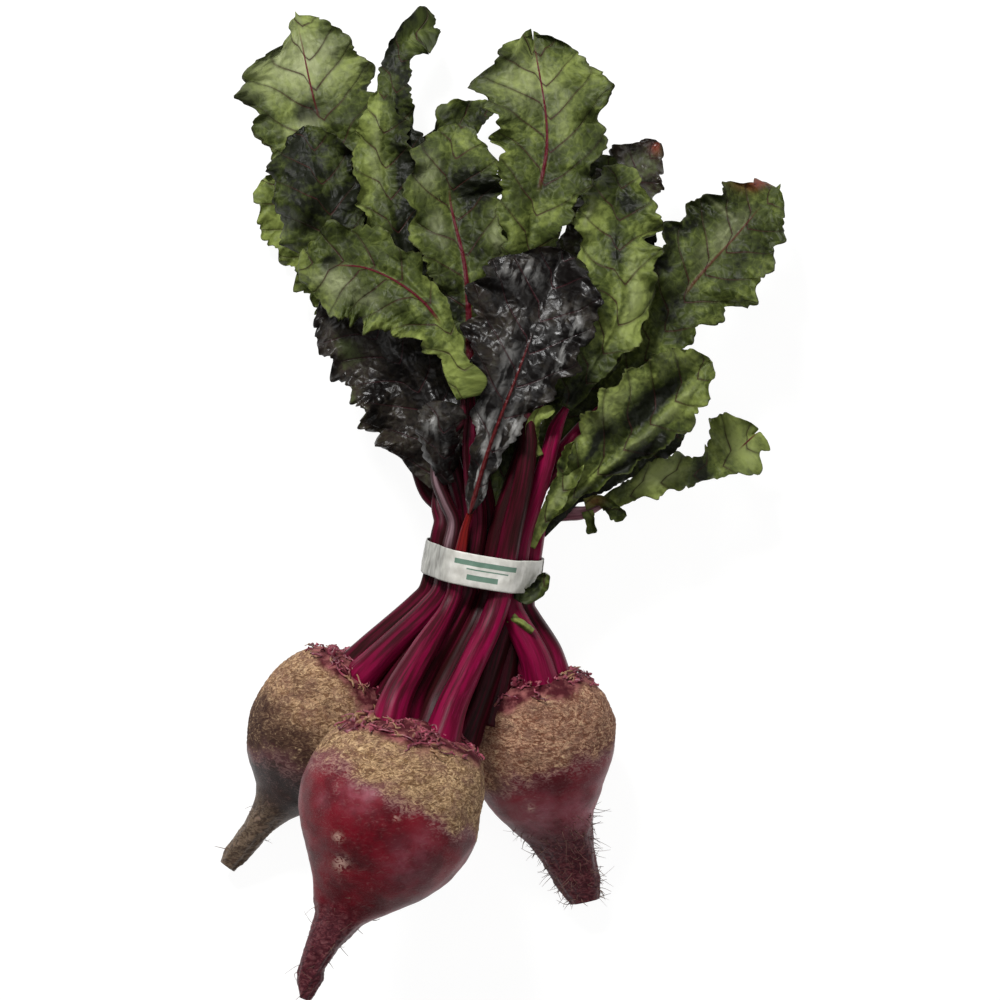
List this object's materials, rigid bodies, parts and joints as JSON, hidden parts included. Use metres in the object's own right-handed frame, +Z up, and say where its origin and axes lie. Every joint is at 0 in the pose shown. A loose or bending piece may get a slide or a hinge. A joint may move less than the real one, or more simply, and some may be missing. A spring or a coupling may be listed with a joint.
{
  "type": "bunch of beetroots",
  "caption": "Tied bunch of beetroots lying down: round red roots with tan shoulders, magenta stalks and waved green and dark purple leaves, held by a flat pale band.",
  "frame": {"origin": "bottom centre of the bunch's box, on the surface that it lies on", "axes": "+Y along the bunch from the roots to the leaves, +Z up, +X to the right seen from above with the leaves ahead"},
  "size_m": [0.212, 0.3648, 0.112],
  "materials": {
    "root_skin": "satin",
    "stalk_skin": "satin",
    "green_leaf": "satin",
    "purple_leaf": "satin",
    "band_film": "satin"
  },
  "bodies": {
    "root": {"beet_front": "root_skin", "beet_left": "root_skin", "beet_right": "root_skin", "band": "band_film", "leaf_01_stalk": "stalk_skin", "leaf_01_blade": "green_leaf", "leaf_02_stalk": "stalk_skin", "leaf_02_blade": "green_leaf", "leaf_03_stalk": "stalk_skin", "leaf_03_blade": "green_leaf", "leaf_04_stalk": "stalk_skin", "leaf_04_blade": "green_leaf", "leaf_05_stalk": "stalk_skin", "leaf_05_blade": "green_leaf", "leaf_06_stalk": "stalk_skin", "leaf_06_blade": "green_leaf", "leaf_07_stalk": "stalk_skin", "leaf_07_blade": "green_leaf", "leaf_08_stalk": "stalk_skin", "leaf_08_blade": "green_leaf", "leaf_09_stalk": "stalk_skin", "leaf_09_blade": "green_leaf", "leaf_10_stalk": "stalk_skin", "leaf_10_blade": "green_leaf", "leaf_11_stalk": "stalk_skin", "leaf_11_blade": "purple_leaf", "leaf_12_stalk": "stalk_skin", "leaf_12_blade": "green_leaf", "leaf_13_stalk": "stalk_skin", "leaf_13_blade": "purple_leaf", "leaf_14_stalk": "stalk_skin", "leaf_14_blade": "green_leaf", "leaf_15_stalk": "stalk_skin", "leaf_15_blade": "green_leaf", "leaf_16_stalk": "stalk_skin", "leaf_16_blade": "green_leaf", "leaf_17_stalk": "stalk_skin", "leaf_17_blade": "purple_leaf", "leaf_18_stalk": "stalk_skin", "leaf_18_blade": "green_leaf"}
  },
  "joints": []
}
